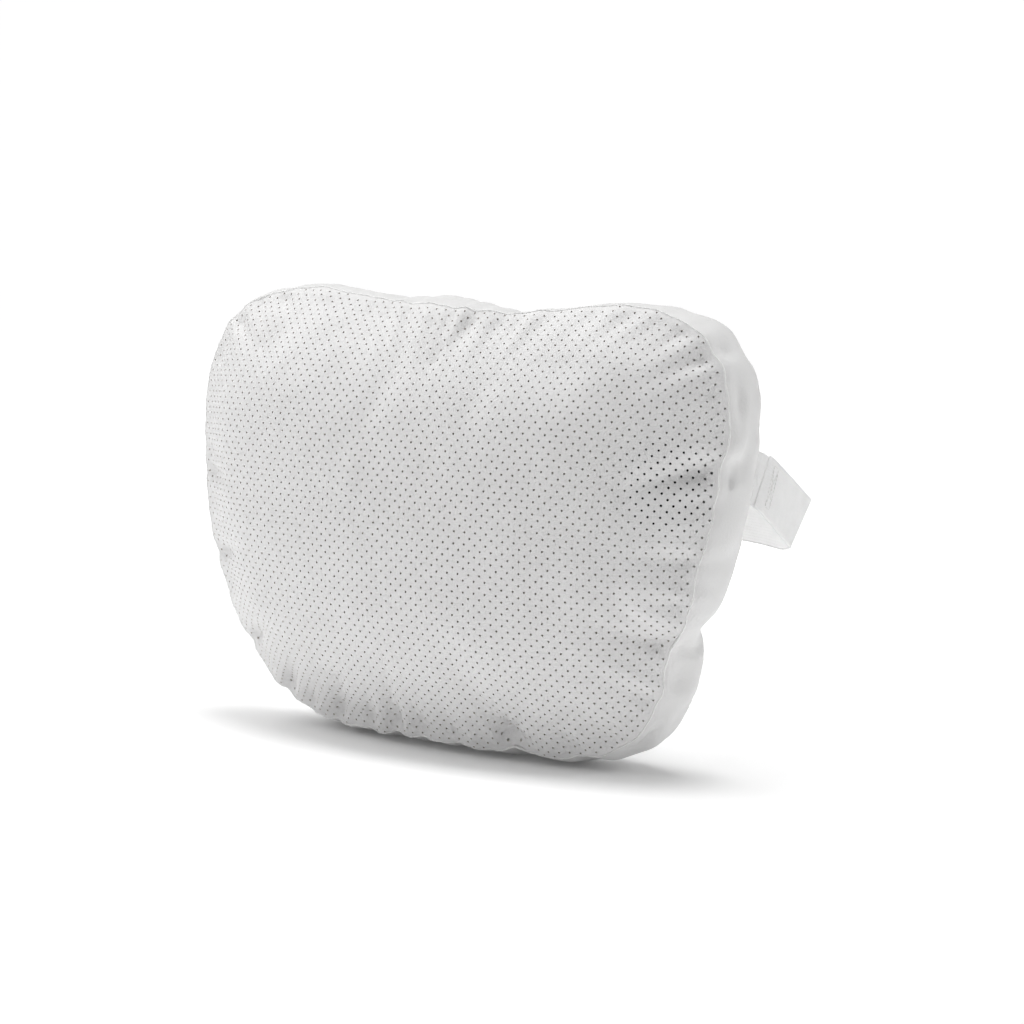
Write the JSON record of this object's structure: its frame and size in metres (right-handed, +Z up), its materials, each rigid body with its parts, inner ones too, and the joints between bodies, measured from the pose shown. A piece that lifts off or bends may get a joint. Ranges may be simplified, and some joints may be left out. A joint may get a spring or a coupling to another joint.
{
  "type": "chair headrest attachment",
  "caption": "Puffy head pillow with a perforated synthetic leather face, smooth gusset, zipped back and an elastic strap that holds it on a chair back.",
  "frame": {"origin": "middle of the flat base that the pillow stands on", "axes": "+X along the pillow's width, -Y out of the perforated face, +Y towards the strap, +Z up"},
  "size_m": [0.3386, 0.1485, 0.2521],
  "materials": {
    "perforated_leather": "white perforated synthetic leather, fine pebble grain, satin",
    "smooth_leather": "white synthetic leather, fine pebble grain, satin",
    "lining_foam": "thin dark foam scrim behind the holes",
    "liner_cloth": "plain non-woven polyester cloth",
    "polyester_fibre": "loose polyester fibre",
    "thread": "white polyester thread",
    "zip_tape": "woven zip tape",
    "zip_coil": "nylon coil",
    "zip_metal": "plated die-cast metal",
    "elastic_webbing": "white elastic webbing, ribbed along its length"
  },
  "bodies": {
    "pillow": {"face_panel": "perforated_leather", "face_lining": "lining_foam", "gusset_upper": "smooth_leather", "gusset_lower": "smooth_leather", "back_panel_upper": "smooth_leather", "back_panel_lower": "smooth_leather", "liner_front": "liner_cloth", "liner_back": "liner_cloth", "fibre_fill": "polyester_fibre", "front_seam_thread": "thread", "back_seam_thread": "thread", "zip_tape_upper": "zip_tape", "zip_tape_lower": "zip_tape", "zip_coil_upper": "zip_coil", "zip_coil_lower": "zip_coil", "zip_top_stop_upper": "zip_metal", "zip_top_stop_lower": "zip_metal", "zip_bottom_stop": "zip_metal", "strap_tab_right": "elastic_webbing", "strap_tab_left": "elastic_webbing"},
    "strap_legs": {"strap_leg_right": "elastic_webbing", "strap_leg_left": "elastic_webbing", "strap_stitch_right": "thread", "strap_stitch_left": "thread"},
    "strap_band": {"strap_bow": "elastic_webbing"},
    "slider": {"zip_slider": "zip_metal"},
    "pull": {"zip_pull": "zip_metal"}
  },
  "joints": [
    {"name": "strap_swing", "type": "hinge", "parent": "pillow", "child": "strap_legs", "pos_m": [0, 0.022, 0.158], "axis": [1, 0, 0], "range_deg": [0, 45]},
    {"name": "strap_stretch", "type": "slide", "parent": "strap_legs", "child": "strap_band", "axis": [0, 0.9205, -0.3907], "range_m": [0, 0.06], "stiffness_N_per_m": 150, "deforming": ["strap_leg_right", "strap_leg_left"]},
    {"name": "zip_slide", "type": "slide", "parent": "pillow", "child": "slider", "axis": [-1, 0, 0], "range_m": [0, 0.178], "deforming": ["zip_coil_upper", "zip_coil_lower"]},
    {"name": "pull_hinge", "type": "hinge", "parent": "slider", "child": "pull", "pos_m": [0.091, 0.04185, 0.072], "axis": [0, 0, -1], "range_deg": [0, 175]}
  ]
}
